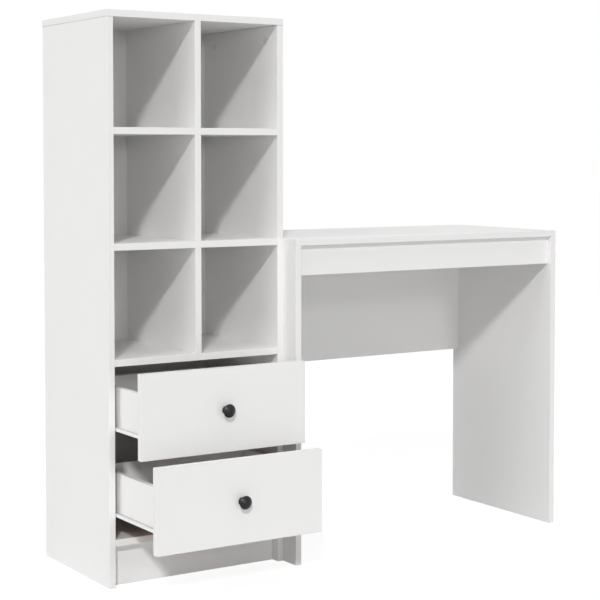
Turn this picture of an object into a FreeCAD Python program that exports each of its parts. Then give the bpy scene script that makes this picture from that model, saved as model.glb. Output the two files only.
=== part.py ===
import FreeCAD, Part
import math
import os

os.makedirs("parts", exist_ok=True)

# Corner desk: an open shelf tower with two drawers, and a writing desk that stands against its
# right side. Millimetres, +Z up, +Y towards the wall. Pieces are laid out from the tower's
# front left foot and moved to the centre of the footprint when they are written.

# ---- driving sizes: boards -----------------------------------------------------------------
BOARD = 15.0                # coated chipboard of tower and desk
DRAWER_BOARD = 12.0         # drawer sides and back
THIN_BOARD = 3.0            # hardboard: tower back and drawer bottoms
EDGE_ROUND = 0.6            # eased edges of every board
FIT = 0.05                  # play of a fitting in its hole
JOINT_CAM_ROOM = 50.0       # fittings from the ends of a tower board
JOINT_DOWEL_ROOM = 82.0

# ---- driving sizes: tower ------------------------------------------------------------------
TOWER_WIDTH = 442.0
TOWER_DEPTH = 340.0
PLINTH_HEIGHT = 90.0
PLINTH_SETBACK = 22.0
DRAWER_SPACE = 375.0        # clear height of the compartment that holds both drawers
CUBBY_HEIGHT = 235.0        # clear height of one shelf space
CUBBY_ROWS = ("bottom", "middle", "top")
BACK_MARGIN = 2.0           # the back board stops this far inside the outer sides

# ---- driving sizes: desk -------------------------------------------------------------------
DESK_WIDTH = 780.0
DESK_DEPTH = 394.0
DESK_HEIGHT = 745.0
APRON_HEIGHT = 69.0
APRON_SETBACK = 12.0
MODESTY_HEIGHT = 322.0
MODESTY_SETBACK = 9.0       # from the desk's back edge
DESK_CAM_ROOM = 70.0        # fittings from the ends of a desk board
DESK_DOWEL_ROOM = 110.0
TOP_DOWEL_ROOM = 150.0      # pegs between the desk top and the boards under it

# ---- driving sizes: drawers ----------------------------------------------------------------
FRONT_GAP_SIDE = 2.0
FRONT_GAP = 2.5             # under, between and over the fronts
DRAWER_SIDE_HEIGHT = 95.0
DRAWER_SIDE_LIFT = 44.0     # drawer side above the front's lower edge
GROOVE_DEPTH = 5.0
GROOVE_LIFT = 9.0           # groove above the drawer side's lower edge
GROOVE_END_PLAY = 0.5
CORNER_SHARES = (0.3, 0.8)  # pegs and screws up the height of a drawer side
CORNER_CAM_SHARE = 0.55
LOWER_OPEN_SHARE = 0.81     # of the full travel, at rest
UPPER_OPEN_SHARE = 0.515

# ---- driving sizes: roller runners ---------------------------------------------------------
RUNNER_SPACE = 12.5         # between tower side and drawer side
RUNNER_STEP = 50.0          # runners come in these steps of length
RUNNER_BACK_ROOM = 5.0      # least room behind a closed drawer
TRAVEL_LOSS = 70.0          # a runner opens this much less than its length
STEEL = 1.0                 # sheet thickness of the rails
RAIL_LAP = 10.0             # flange under the drawer side
RAIL_RISE = 10.0            # drawer rail above the drawer side's lower edge
LIP_DROP = 7.0
RAIL_GAP = 0.5              # between the two rails
ROLL_GAP = 0.3              # between a roller and what it runs on
PIN_RADIUS = 2.0
PIN_SHOULDER = 0.4          # the shoulder is this much larger in radius
PIN_HEAD_RADIUS = 3.2
PIN_HEAD = 0.8
FRONT_ROLLER_RADIUS = 8.5
REAR_ROLLER_RADIUS = 7.5
ROLLER_CHAMFER = 0.6
ROLLER_INSET = 2.6          # roller's inner face from the drawer side
REAR_ROLLER_FROM_END = 12.0
LIP_ROOM = 2.5              # between the drawer rail's lip and the tower side
LIP_GAP = 0.8               # between that lip and a roller
CHANNEL_SHY = 2.5           # the tower rail's flanges stop this far from the drawer side
RAIL_FRONT_PLAY = 1.5       # behind a closed drawer front
RAIL_SCREW_FRONT = 35.0     # screws from the rails' ends
RAIL_SCREW_REAR = 50.0

# ---- driving sizes: knobs and fasteners ----------------------------------------------------
KNOB_RADIUS = 15.0
KNOB_REACH = 24.0
KNOB_FOOT_RADIUS = 9.0
KNOB_NECK_RADIUS = 6.0
KNOB_SCREW_RADIUS = 2.0
KNOB_SCREW_BITE = 9.0
KNOB_SCREW_HEAD = 2.4
DOWEL_RADIUS = 4.0
SMALL_DOWEL_RADIUS = 3.0
CAM_RADIUS = 7.5
CAM_DISTANCE = 34.0         # cam centre from the joint in the thick boards
DRAWER_CAM_DISTANCE = 24.0
CAM_FLOOR = 2.5             # left of the board under a cam
BOLT_RADIUS = 3.0
BOLT_NECK_RADIUS = 2.0
BOLT_BITE = 11.0
SCREW_RADIUS = 1.75
SCREW_HEAD_RADIUS = 3.4
SCREW_HEAD = 1.6
TOWER_RAIL_BITE = 12.0
DRAWER_RAIL_BITE = 13.0
BACK_SCREW_BITE = 35.0
NAIL_RADIUS = 0.7
NAIL_HEAD_RADIUS = 1.6
NAIL_HEAD = 0.6
NAIL_BITE = 15.0
NAIL_ROOM = 30.0            # first and last nail from the back board's ends
LINK_SLEEVE_RADIUS = 4.0
LINK_BOLT_RADIUS = 2.5
LINK_HEAD_RADIUS = 7.5
LINK_HEAD = 1.5
LINK_ROOM = 60.0            # from the front and rear edges of the tower's side
LINK_UNDER_SHELF = 25.0

# ---- levels and places that follow ---------------------------------------------------------
CASE_DEPTH = TOWER_DEPTH - THIN_BOARD
INNER_LEFT = BOARD
INNER_RIGHT = TOWER_WIDTH - BOARD
TOWER_MIDDLE = TOWER_WIDTH / 2
FLOOR_LEVEL = PLINTH_HEIGHT + BOARD
MIDDLE_LEVEL = FLOOR_LEVEL + DRAWER_SPACE
CUBBY_LEVELS = [MIDDLE_LEVEL + BOARD + row * (CUBBY_HEIGHT + BOARD) for row in range(3)]
TOP_LEVEL = CUBBY_LEVELS[-1] + CUBBY_HEIGHT
DESK_FRONT = TOWER_DEPTH - DESK_DEPTH
DESK_LEFT = TOWER_WIDTH
DESK_RIGHT = TOWER_WIDTH + DESK_WIDTH
DESK_UNDER = DESK_HEIGHT - BOARD
APRON_FRONT = DESK_FRONT + APRON_SETBACK
MODESTY_BACK = TOWER_DEPTH - MODESTY_SETBACK
FRONT_HEIGHT = (DRAWER_SPACE - 3 * FRONT_GAP) / 2
SIDE_OUTER = INNER_LEFT + RUNNER_SPACE
RUNNER_ROOM = CASE_DEPTH - BOARD - RUNNER_BACK_ROOM
RUNNER_LENGTH = RUNNER_STEP * math.floor(RUNNER_ROOM / RUNNER_STEP)
FULL_TRAVEL = RUNNER_LENGTH - TRAVEL_LOSS
LOWER_OPEN = FULL_TRAVEL * LOWER_OPEN_SHARE
UPPER_OPEN = FULL_TRAVEL * UPPER_OPEN_SHARE
FRONT_REACH = max(LOWER_OPEN, UPPER_OPEN) + KNOB_REACH

V = FreeCAD.Vector
RIGHT, BACK, UP = V(1, 0, 0), V(0, 1, 0), V(0, 0, 1)
ORIGIN = V(DESK_RIGHT / 2, (TOWER_DEPTH - FRONT_REACH) / 2, 0)

pieces = {}                 # node name: list of solids
holes = {}                  # node name: list of shapes cut from it


# ---- building blocks -----------------------------------------------------------------------
def block(x, y, z):
    """Box between the pairs of limits x, y and z."""
    return Part.makeBox(x[1] - x[0], y[1] - y[0], z[1] - z[0], V(x[0], y[0], z[0]))


def rod(radius, start, direction, length):
    return Part.makeCylinder(radius, length, start, direction)


def board(name, x, y, z):
    """A coated board with eased edges, kept under its name."""
    shape = block(x, y, z)
    pieces[name] = [shape.makeFillet(EDGE_ROUND, shape.Edges)]


def keep(name, solid):
    pieces.setdefault(name, []).append(solid)


def drill(name, cutter):
    holes.setdefault(name, []).append(cutter)


def fused(solids):
    return solids[0].fuse(solids[1:]).removeSplitter()


def mirrored(shape):
    """The shape's twin on the other side of the tower's middle."""
    return shape.mirror(V(TOWER_MIDDLE, 0, 0), RIGHT)


def evenly(low, high, count):
    return [low + (high - low) * step / (count - 1) for step in range(count)]


# ---- joints between boards -----------------------------------------------------------------
def dowel(group, radius, first, second, at, toward, first_bite, second_bite):
    """Round wooden peg from the first board across the joint at the point into the second."""
    end_room = 0.5
    keep(group, rod(radius, at - toward * first_bite, toward, first_bite + second_bite))
    cutter = rod(
        radius + FIT,
        at - toward * (first_bite + end_room),
        toward,
        first_bite + second_bite + 2 * end_room,
    )
    drill(first, cutter)
    drill(second, cutter)


def cam_joint(bolt_group, cam_group, bolt_board, cam_board, at, toward, face, thickness, distance):
    """Cam bolt in one board, drawn in by a round cam let into the face of the other."""
    cam_depth = thickness - CAM_FLOOR
    head, pocket_play = 3.0, 0.5
    head_radius = BOLT_RADIUS + 0.5
    keep(
        bolt_group,
        fused(
            [
                rod(BOLT_RADIUS, at - toward * BOLT_BITE, toward, BOLT_BITE),
                rod(BOLT_NECK_RADIUS, at, toward, distance - head / 2),
                rod(head_radius, at + toward * (distance - head / 2), toward, head),
            ]
        ),
    )
    surface = at + toward * distance + face * (thickness / 2)
    cam = rod(CAM_RADIUS, surface, face * -1, cam_depth)
    pocket = rod(
        head_radius + pocket_play,
        at + toward * (distance - CAM_RADIUS - 1),
        toward,
        CAM_RADIUS + 1 + head / 2 + pocket_play,
    )
    keep(cam_group, cam.cut(pocket))
    drill(bolt_board, rod(BOLT_RADIUS + FIT, at - toward * (BOLT_BITE + 1), toward, BOLT_BITE + 1))
    drill(cam_board, rod(head_radius + FIT, at, toward, distance))
    drill(cam_board, rod(CAM_RADIUS + FIT, surface, face * -1, cam_depth + FIT))


def pan_screw(group, at, direction, length, through, into):
    """Screw whose flat head stands on the surface at the point."""
    head = rod(SCREW_HEAD_RADIUS, at - direction * SCREW_HEAD, direction, SCREW_HEAD)
    keep(group, fused([head, rod(SCREW_RADIUS, at, direction, length)]))
    cutter = rod(SCREW_RADIUS + FIT, at, direction, length + 1)
    drill(through, cutter)
    drill(into, cutter)


# ---- tower ---------------------------------------------------------------------------------
CAM_ROWS = (JOINT_CAM_ROOM, CASE_DEPTH - JOINT_CAM_ROOM)
DOWEL_ROWS = (JOINT_DOWEL_ROOM, CASE_DEPTH - JOINT_DOWEL_ROOM)
DOWEL_FACE_BITE = 10.0
DOWEL_EDGE_BITE = 19.0
DIVIDER_FACE_BITE = 7.0


def tower_boards():
    inner, depth = (INNER_LEFT, INNER_RIGHT), (0, CASE_DEPTH)
    board("tower_left_side", (0, BOARD), depth, (0, TOP_LEVEL))
    board("tower_right_side", (INNER_RIGHT, TOWER_WIDTH), depth, (0, TOP_LEVEL))
    board("tower_top", (0, TOWER_WIDTH), (0, TOWER_DEPTH), (TOP_LEVEL, TOP_LEVEL + BOARD))
    shelves = {
        "tower_bottom": FLOOR_LEVEL,
        "drawer_cover_shelf": CUBBY_LEVELS[0],
        "lower_shelf": CUBBY_LEVELS[1],
        "upper_shelf": CUBBY_LEVELS[2],
    }
    for name, level in shelves.items():
        board(name, inner, depth, (level - BOARD, level))
        for side, start, toward in (
            ("tower_left_side", INNER_LEFT, RIGHT),
            ("tower_right_side", INNER_RIGHT, RIGHT * -1),
        ):
            middle = level - BOARD / 2
            for row in CAM_ROWS:
                at = V(start, row, middle)
                cam_joint("case_cam_bolts", "case_cams", side, name, at, toward, UP * -1,
                          BOARD, CAM_DISTANCE)
            for row in DOWEL_ROWS:
                dowel("case_dowels", DOWEL_RADIUS, side, name, V(start, row, middle), toward,
                      DOWEL_FACE_BITE, DOWEL_EDGE_BITE)
    for side, middle, face in (
        ("tower_left_side", BOARD / 2, RIGHT),
        ("tower_right_side", TOWER_WIDTH - BOARD / 2, RIGHT * -1),
    ):
        for row in CAM_ROWS:
            cam_joint("case_cam_bolts", "case_cams", "tower_top", side,
                      V(middle, row, TOP_LEVEL), UP * -1, face, BOARD, CAM_DISTANCE)
        for row in DOWEL_ROWS:
            dowel("case_dowels", DOWEL_RADIUS, "tower_top", side, V(middle, row, TOP_LEVEL),
                  UP * -1, DOWEL_FACE_BITE, DOWEL_EDGE_BITE)


def tower_dividers():
    """Upright in the middle of each row of cubbies, pegged to the shelf under and over it."""
    under = ("drawer_cover_shelf", "lower_shelf", "upper_shelf")
    over = ("lower_shelf", "upper_shelf", "tower_top")
    half = BOARD / 2
    for row, level in enumerate(CUBBY_LEVELS):
        name = CUBBY_ROWS[row] + "_divider"
        board(name, (TOWER_MIDDLE - half, TOWER_MIDDLE + half), (0, CASE_DEPTH),
              (level, level + CUBBY_HEIGHT))
        for y in DOWEL_ROWS:
            dowel("case_dowels", SMALL_DOWEL_RADIUS, under[row], name,
                  V(TOWER_MIDDLE, y, level), UP, DIVIDER_FACE_BITE, DOWEL_EDGE_BITE)
            dowel("case_dowels", SMALL_DOWEL_RADIUS, over[row], name,
                  V(TOWER_MIDDLE, y, level + CUBBY_HEIGHT), UP * -1,
                  DIVIDER_FACE_BITE, DOWEL_EDGE_BITE)


def tower_plinth():
    middle = PLINTH_SETBACK + BOARD / 2
    board("tower_plinth", (INNER_LEFT, INNER_RIGHT), (PLINTH_SETBACK, PLINTH_SETBACK + BOARD),
          (0, PLINTH_HEIGHT))
    for x in (TOWER_WIDTH / 4, TOWER_WIDTH * 3 / 4):
        dowel("case_dowels", DOWEL_RADIUS, "tower_bottom", "tower_plinth",
              V(x, middle, PLINTH_HEIGHT), UP * -1, DOWEL_FACE_BITE, DOWEL_EDGE_BITE)
    for side, start, toward in (
        ("tower_left_side", INNER_LEFT, RIGHT),
        ("tower_right_side", INNER_RIGHT, RIGHT * -1),
    ):
        dowel("case_dowels", DOWEL_RADIUS, side, "tower_plinth",
              V(start, middle, PLINTH_HEIGHT / 2), toward, DOWEL_FACE_BITE, DOWEL_EDGE_BITE)


def tower_back():
    """Thin board on the rear edges, held by nails into the sides, shelves and dividers."""
    pieces["tower_back"] = [
        block((BACK_MARGIN, TOWER_WIDTH - BACK_MARGIN), (CASE_DEPTH, TOWER_DEPTH),
              (PLINTH_HEIGHT, TOP_LEVEL))
    ]
    places = []
    for side, x in (("tower_left_side", BOARD / 2), ("tower_right_side", TOWER_WIDTH - BOARD / 2)):
        heights = evenly(PLINTH_HEIGHT + NAIL_ROOM, TOP_LEVEL - NAIL_ROOM, 8)
        places += [(side, x, z) for z in heights]
    for shelf, level in (
        ("tower_bottom", FLOOR_LEVEL),
        ("drawer_cover_shelf", CUBBY_LEVELS[0]),
        ("lower_shelf", CUBBY_LEVELS[1]),
        ("upper_shelf", CUBBY_LEVELS[2]),
    ):
        widths = evenly(TOWER_WIDTH / 5, TOWER_WIDTH * 4 / 5, 4)
        places += [(shelf, x, level - BOARD / 2) for x in widths]
    for row, level in enumerate(CUBBY_LEVELS):
        places.append((CUBBY_ROWS[row] + "_divider", TOWER_MIDDLE, level + CUBBY_HEIGHT / 2))
    for into, x, z in places:
        at = V(x, TOWER_DEPTH, z)
        forward = BACK * -1
        head = rod(NAIL_HEAD_RADIUS, at, forward, NAIL_HEAD)
        length = THIN_BOARD + NAIL_BITE
        keep("back_nails", fused([head, rod(NAIL_RADIUS, at, forward, length)]))
        drill("tower_back", rod(NAIL_HEAD_RADIUS + FIT, at, forward, NAIL_HEAD))
        for name in ("tower_back", into):
            drill(name, rod(NAIL_RADIUS + FIT, at, forward, length + 1))


# ---- desk ----------------------------------------------------------------------------------
def desk():
    legs = {
        "desk_left_leg": (DESK_LEFT, DESK_LEFT + BOARD),
        "desk_right_leg": (DESK_RIGHT - BOARD, DESK_RIGHT),
    }
    depth = (DESK_FRONT, TOWER_DEPTH)
    between = (DESK_LEFT + BOARD, DESK_RIGHT - BOARD)
    modesty_low = DESK_UNDER - MODESTY_HEIGHT
    board("desk_top", (DESK_LEFT, DESK_RIGHT), depth, (DESK_UNDER, DESK_HEIGHT))
    board("desk_apron", between, (APRON_FRONT, APRON_FRONT + BOARD),
          (DESK_UNDER - APRON_HEIGHT, DESK_UNDER))
    board("modesty_panel", between, (MODESTY_BACK - BOARD, MODESTY_BACK),
          (modesty_low, DESK_UNDER))
    cam_rows = (DESK_FRONT + DESK_CAM_ROOM, TOWER_DEPTH - DESK_CAM_ROOM)
    dowel_rows = (DESK_FRONT + DESK_DOWEL_ROOM, TOWER_DEPTH - DESK_DOWEL_ROOM)
    apron_middle = APRON_FRONT + BOARD / 2
    modesty_middle = MODESTY_BACK - BOARD / 2
    for name, x, in_x, toward in (
        ("desk_left_leg", legs["desk_left_leg"], between[0], RIGHT),
        ("desk_right_leg", legs["desk_right_leg"], between[1], RIGHT * -1),
    ):
        board(name, x, depth, (0, DESK_UNDER))
        middle = (x[0] + x[1]) / 2
        for y in cam_rows:
            cam_joint("case_cam_bolts", "case_cams", "desk_top", name,
                      V(middle, y, DESK_UNDER), UP * -1, toward, BOARD, CAM_DISTANCE)
        for y in dowel_rows:
            dowel("case_dowels", DOWEL_RADIUS, "desk_top", name, V(middle, y, DESK_UNDER),
                  UP * -1, DOWEL_FACE_BITE, DOWEL_EDGE_BITE)
        cam_joint("case_cam_bolts", "case_cams", name, "desk_apron",
                  V(in_x, apron_middle, DESK_UNDER - APRON_HEIGHT / 3), toward, BACK,
                  BOARD, CAM_DISTANCE)
        dowel("case_dowels", DOWEL_RADIUS, name, "desk_apron",
              V(in_x, apron_middle, DESK_UNDER - APRON_HEIGHT * 3 / 4), toward,
              DOWEL_FACE_BITE, DOWEL_EDGE_BITE)
        for share in (1 / 5, 4 / 5):
            cam_joint("case_cam_bolts", "case_cams", name, "modesty_panel",
                      V(in_x, modesty_middle, modesty_low + MODESTY_HEIGHT * share), toward,
                      BACK, BOARD, CAM_DISTANCE)
        dowel("case_dowels", DOWEL_RADIUS, name, "modesty_panel",
              V(in_x, modesty_middle, modesty_low + MODESTY_HEIGHT / 2), toward,
              DOWEL_FACE_BITE, DOWEL_EDGE_BITE)
    for x in evenly(between[0] + TOP_DOWEL_ROOM, between[1] - TOP_DOWEL_ROOM, 3):
        for rail, y in (("desk_apron", apron_middle), ("modesty_panel", modesty_middle)):
            dowel("case_dowels", DOWEL_RADIUS, "desk_top", rail, V(x, y, DESK_UNDER), UP * -1,
                  DOWEL_FACE_BITE, DOWEL_EDGE_BITE)


def desk_links():
    """Sleeve bolts through the tower's right side and the desk's left leg."""
    heights = (PLINTH_HEIGHT * 2 / 3, MIDDLE_LEVEL - LINK_UNDER_SHELF)
    start, end = INNER_RIGHT, DESK_LEFT + BOARD
    through = end - start
    sleeve_length, bolt_length = through - 7, through - 5
    for y in (LINK_ROOM, CASE_DEPTH - LINK_ROOM):
        for z in heights:
            inside, outside = V(start, y, z), V(end, y, z)
            sleeve = fused(
                [
                    rod(LINK_HEAD_RADIUS, outside, RIGHT, LINK_HEAD),
                    rod(LINK_SLEEVE_RADIUS, outside, RIGHT * -1, sleeve_length),
                ]
            )
            bore = rod(LINK_BOLT_RADIUS + FIT, outside, RIGHT * -1, sleeve_length)
            keep("desk_link_bolts", sleeve.cut(bore))
            bolt = fused(
                [
                    rod(LINK_HEAD_RADIUS, inside, RIGHT * -1, LINK_HEAD),
                    rod(LINK_BOLT_RADIUS, inside, RIGHT, bolt_length),
                ]
            )
            keep("desk_link_bolts", bolt)
            for name in ("tower_right_side", "desk_left_leg"):
                drill(name, rod(LINK_SLEEVE_RADIUS + FIT, inside, RIGHT, through))


# ---- runners -------------------------------------------------------------------------------
# The left runner is modelled; the right one is its mirror image. Across the runner, distances
# run from the drawer side's outer face (0) to the tower side's inner face (RUNNER_SPACE).
# Heights count from the drawer side's lower edge.
RUNNING_SURFACE = RAIL_RISE - STEEL
FRONT_ROLLER_HEIGHT = RUNNING_SURFACE - ROLL_GAP - FRONT_ROLLER_RADIUS
CHANNEL_TOP = RAIL_RISE - LIP_DROP - RAIL_GAP
REAR_ROLLER_HEIGHT = CHANNEL_TOP - STEEL - ROLL_GAP - REAR_ROLLER_RADIUS
CHANNEL_FLOOR = REAR_ROLLER_HEIGHT - REAR_ROLLER_RADIUS - ROLL_GAP
RAIL_START = BOARD + RAIL_FRONT_PLAY
FRONT_ROLLER_Y = RAIL_START + FRONT_ROLLER_RADIUS + 1
CLOSED_REAR_ROLLER_Y = BOARD + RUNNER_LENGTH - REAR_ROLLER_FROM_END
RAIL_END = CLOSED_REAR_ROLLER_Y + REAR_ROLLER_RADIUS + ROLL_GAP + STEEL
LIP_OUTER = RUNNER_SPACE - LIP_ROOM
ROLLER_OUTER = LIP_OUTER - STEEL - LIP_GAP
ROLLER_WIDTH = ROLLER_OUTER - ROLLER_INSET


def across(near, far):
    """X limits of what lies between two distances from the drawer side."""
    return SIDE_OUTER - far, SIDE_OUTER - near


def pin(from_distance, to_distance, y, z):
    """Riveted pin: shoulder, journal under the roller, and a flat head at its free end."""
    inwards = to_distance < from_distance
    direction = RIGHT if inwards else RIGHT * -1
    first_roller_face = ROLLER_OUTER if inwards else ROLLER_INSET
    start = V(SIDE_OUTER - from_distance, y, z)
    length = abs(to_distance - from_distance)
    shoulder = abs(first_roller_face - from_distance) - ROLL_GAP
    return [
        rod(PIN_RADIUS + PIN_SHOULDER, start, direction, shoulder),
        rod(PIN_RADIUS, start, direction, length),
        rod(PIN_HEAD_RADIUS, start + direction * (length - PIN_HEAD), direction, PIN_HEAD),
    ]


def roller(radius, y, z):
    start = V(SIDE_OUTER - ROLLER_OUTER, y, z)
    wheel = rod(radius, start, RIGHT, ROLLER_WIDTH)
    rims = [edge for edge in wheel.Edges if edge.Closed]
    wheel = wheel.makeChamfer(ROLLER_CHAMFER, rims)
    return wheel.cut(rod(PIN_RADIUS + FIT, start, RIGHT, ROLLER_WIDTH))


def tower_rail(level):
    """Channel screwed to the tower side, with the front roller's pin."""
    bottom, top = level + CHANNEL_FLOOR - STEEL, level + CHANNEL_TOP
    web = across(RUNNER_SPACE - STEEL, RUNNER_SPACE)
    flange = across(CHANNEL_SHY, RUNNER_SPACE)
    cut_back = FRONT_ROLLER_Y + FRONT_ROLLER_RADIUS + 3
    stop_at = CLOSED_REAR_ROLLER_Y - FULL_TRAVEL - REAR_ROLLER_RADIUS - ROLL_GAP
    solids = [
        block(web, (RAIL_START, RAIL_END), (bottom, top)),
        block(flange, (RAIL_START, RAIL_END), (bottom, bottom + STEEL)),
        block(flange, (cut_back, RAIL_END), (top - STEEL, top)),
        block(flange, (RAIL_END - STEEL, RAIL_END), (bottom, top)),
        block(flange, (stop_at - 3, stop_at), (bottom, bottom + 4)),
    ]
    free_end = ROLLER_INSET - ROLL_GAP - PIN_HEAD
    height = level + FRONT_ROLLER_HEIGHT
    return fused(solids + pin(RUNNER_SPACE - STEEL, free_end, FRONT_ROLLER_Y, height))


def drawer_rail(level, start):
    """Angle under the drawer side, its outer flange running on the front roller."""
    end = start + RUNNER_LENGTH
    low, high = level - STEEL, level + RAIL_RISE
    tail = REAR_ROLLER_FROM_END * 2
    solids = [
        block(across(-RAIL_LAP, STEEL), (start, end), (low, level)),
        block(across(0, STEEL), (start, end), (low, high)),
        block(across(0, LIP_OUTER), (start, end), (high - STEEL, high)),
        block(across(LIP_OUTER - STEEL, LIP_OUTER), (start, end), (high - LIP_DROP, high)),
        block(across(0, STEEL), (end - tail, end), (level + REAR_ROLLER_HEIGHT - 4, level)),
    ]
    free_end = ROLLER_OUTER + ROLL_GAP + PIN_HEAD
    height = level + REAR_ROLLER_HEIGHT
    return fused(solids + pin(STEEL, free_end, end - REAR_ROLLER_FROM_END, height))


def runners(drawer, level, start):
    """Both runners of one drawer: rails, rollers and their screws."""
    rear_roller_y = start + RUNNER_LENGTH - REAR_ROLLER_FROM_END
    fixed_rail = tower_rail(level)
    moving_rail = drawer_rail(level, start)
    front_wheel = roller(FRONT_ROLLER_RADIUS, FRONT_ROLLER_Y, level + FRONT_ROLLER_HEIGHT)
    rear_wheel = roller(REAR_ROLLER_RADIUS, rear_roller_y, level + REAR_ROLLER_HEIGHT)
    screw_height = level + REAR_ROLLER_HEIGHT
    for hand, turn in (("left", lambda shape: shape), ("right", mirrored)):
        end = drawer + "_" + hand
        keep(end + "_tower_rail", turn(fixed_rail))
        keep(end + "_drawer_rail", turn(moving_rail))
        keep(end + "_front_roller", turn(front_wheel))
        keep(end + "_rear_roller", turn(rear_wheel))
        outward = RIGHT * -1 if hand == "left" else RIGHT
        web_face = INNER_LEFT + STEEL if hand == "left" else INNER_RIGHT - STEEL
        for y in (RAIL_START + RAIL_SCREW_FRONT, RAIL_END - RAIL_SCREW_REAR):
            pan_screw("tower_rail_screws", V(web_face, y, screw_height), outward, TOWER_RAIL_BITE,
                      end + "_tower_rail", "tower_" + hand + "_side")
        lap_x = SIDE_OUTER + RAIL_LAP / 2
        if hand == "right":
            lap_x = TOWER_WIDTH - lap_x
        for y in (start + RAIL_SCREW_FRONT, start + RUNNER_LENGTH - RAIL_SCREW_REAR):
            pan_screw(drawer + "_screws", V(lap_x, y, level - STEEL), UP, DRAWER_RAIL_BITE,
                      end + "_drawer_rail", end + "_side")


# ---- drawers -------------------------------------------------------------------------------
def knob(centre):
    """Turned mushroom knob on the drawer front, its axis towards the user."""
    neck_height = KNOB_REACH * 0.34
    rim_height = KNOB_REACH * 0.66
    foot_edge, rim_round = 1.5, 1.2
    cap_height = KNOB_REACH - rim_height
    dome_radius = (KNOB_RADIUS**2 + cap_height**2) / (2 * cap_height)
    half_angle = math.asin(KNOB_RADIUS / dome_radius) / 2

    def at(radius, height):
        return centre + V(radius, -height, 0)

    foot, shoulder = at(KNOB_FOOT_RADIUS, 0), at(KNOB_FOOT_RADIUS, foot_edge)
    neck, rim = at(KNOB_NECK_RADIUS, neck_height), at(KNOB_RADIUS, rim_height)
    crown = at(0, KNOB_REACH)
    foot_bend = at(KNOB_NECK_RADIUS + 0.6, neck_height * 0.6)
    under_bend = at((KNOB_NECK_RADIUS + KNOB_RADIUS) / 2 + 1, (neck_height + rim_height) / 2)
    dome_bend = at(
        dome_radius * math.sin(half_angle),
        KNOB_REACH - dome_radius * (1 - math.cos(half_angle)),
    )
    outline = Part.Wire(
        [
            Part.makeLine(centre, foot),
            Part.makeLine(foot, shoulder),
            Part.Arc(shoulder, foot_bend, neck).toShape(),
            Part.Arc(neck, under_bend, rim).toShape(),
            Part.Arc(rim, dome_bend, crown).toShape(),
            Part.makeLine(crown, centre),
        ]
    )
    body = Part.Face(outline).revolve(centre, BACK, 360)
    widest = 2 * KNOB_RADIUS - 0.1
    rims = [edge for edge in body.Edges if edge.Closed and edge.BoundBox.XLength > widest]
    body = body.makeFillet(rim_round, rims)
    return body.cut(rod(KNOB_SCREW_RADIUS + FIT, centre, BACK * -1, KNOB_SCREW_BITE + 1))


def knob_screw(centre):
    """Machine screw from inside the drawer, through the front into the knob."""
    inside = centre + BACK * BOARD
    head_radius = KNOB_SCREW_RADIUS * 2
    return fused(
        [
            rod(head_radius, inside, BACK, KNOB_SCREW_HEAD),
            rod(KNOB_SCREW_RADIUS, inside, BACK * -1, BOARD + KNOB_SCREW_BITE),
        ]
    )


def drawer(name, front_low, opened):
    front_face = -opened
    start = front_face + BOARD
    end = start + RUNNER_LENGTH
    level = front_low + DRAWER_SIDE_LIFT
    high = level + DRAWER_SIDE_HEIGHT
    front_x = (INNER_LEFT + FRONT_GAP_SIDE, INNER_RIGHT - FRONT_GAP_SIDE)
    inside_left = SIDE_OUTER + DRAWER_BOARD
    inside_right = TOWER_WIDTH - inside_left
    groove_z = (level + GROOVE_LIFT, level + GROOVE_LIFT + THIN_BOARD)
    groove_x = (inside_left - GROOVE_DEPTH, inside_right + GROOVE_DEPTH)
    board(name + "_front", front_x, (front_face, start), (front_low, front_low + FRONT_HEIGHT))
    board(name + "_left_side", (SIDE_OUTER, inside_left), (start, end), (level, high))
    board(name + "_right_side", (inside_right, TOWER_WIDTH - SIDE_OUTER), (start, end),
          (level, high))
    board(name + "_back", (inside_left, inside_right), (end - DRAWER_BOARD, end),
          (groove_z[1], high))
    for grooved in ("_front", "_left_side", "_right_side"):
        drill(name + grooved, block(groove_x, (start - GROOVE_DEPTH, end), groove_z))
    pieces[name + "_bottom"] = [
        block((groove_x[0] + GROOVE_END_PLAY, groove_x[1] - GROOVE_END_PLAY),
              (start - GROOVE_DEPTH + GROOVE_END_PLAY, end), groove_z)
    ]
    for hand, middle, face in (
        ("_left_side", SIDE_OUTER + DRAWER_BOARD / 2, RIGHT),
        ("_right_side", TOWER_WIDTH - SIDE_OUTER - DRAWER_BOARD / 2, RIGHT * -1),
    ):
        cam_joint(name + "_cam_fittings", name + "_cam_fittings", name + "_front", name + hand,
                  V(middle, start, level + DRAWER_SIDE_HEIGHT * CORNER_CAM_SHARE), BACK, face,
                  DRAWER_BOARD, DRAWER_CAM_DISTANCE)
        for share in CORNER_SHARES:
            dowel(name + "_dowels", SMALL_DOWEL_RADIUS, name + "_front", name + hand,
                  V(middle, start, level + DRAWER_SIDE_HEIGHT * share), BACK,
                  DOWEL_FACE_BITE, DOWEL_EDGE_BITE)
        outer = middle - face.x * DRAWER_BOARD / 2
        for share in CORNER_SHARES:
            at = V(outer, end - DRAWER_BOARD / 2, level + DRAWER_SIDE_HEIGHT * share)
            pan_screw(name + "_screws", at, face, BACK_SCREW_BITE, name + hand, name + "_back")
    centre = V(TOWER_MIDDLE, front_face, front_low + FRONT_HEIGHT / 2)
    keep(name + "_knob", knob(centre))
    keep(name + "_knob_screw", knob_screw(centre))
    drill(name + "_front", rod(KNOB_SCREW_RADIUS + FIT, centre, BACK, BOARD))
    runners(name, level, start)


# ---- assembly ------------------------------------------------------------------------------
tower_boards()
tower_dividers()
tower_plinth()
tower_back()
desk()
desk_links()
drawer("lower_drawer", FLOOR_LEVEL + FRONT_GAP, LOWER_OPEN)
drawer("upper_drawer", FLOOR_LEVEL + 2 * FRONT_GAP + FRONT_HEIGHT, UPPER_OPEN)

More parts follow.
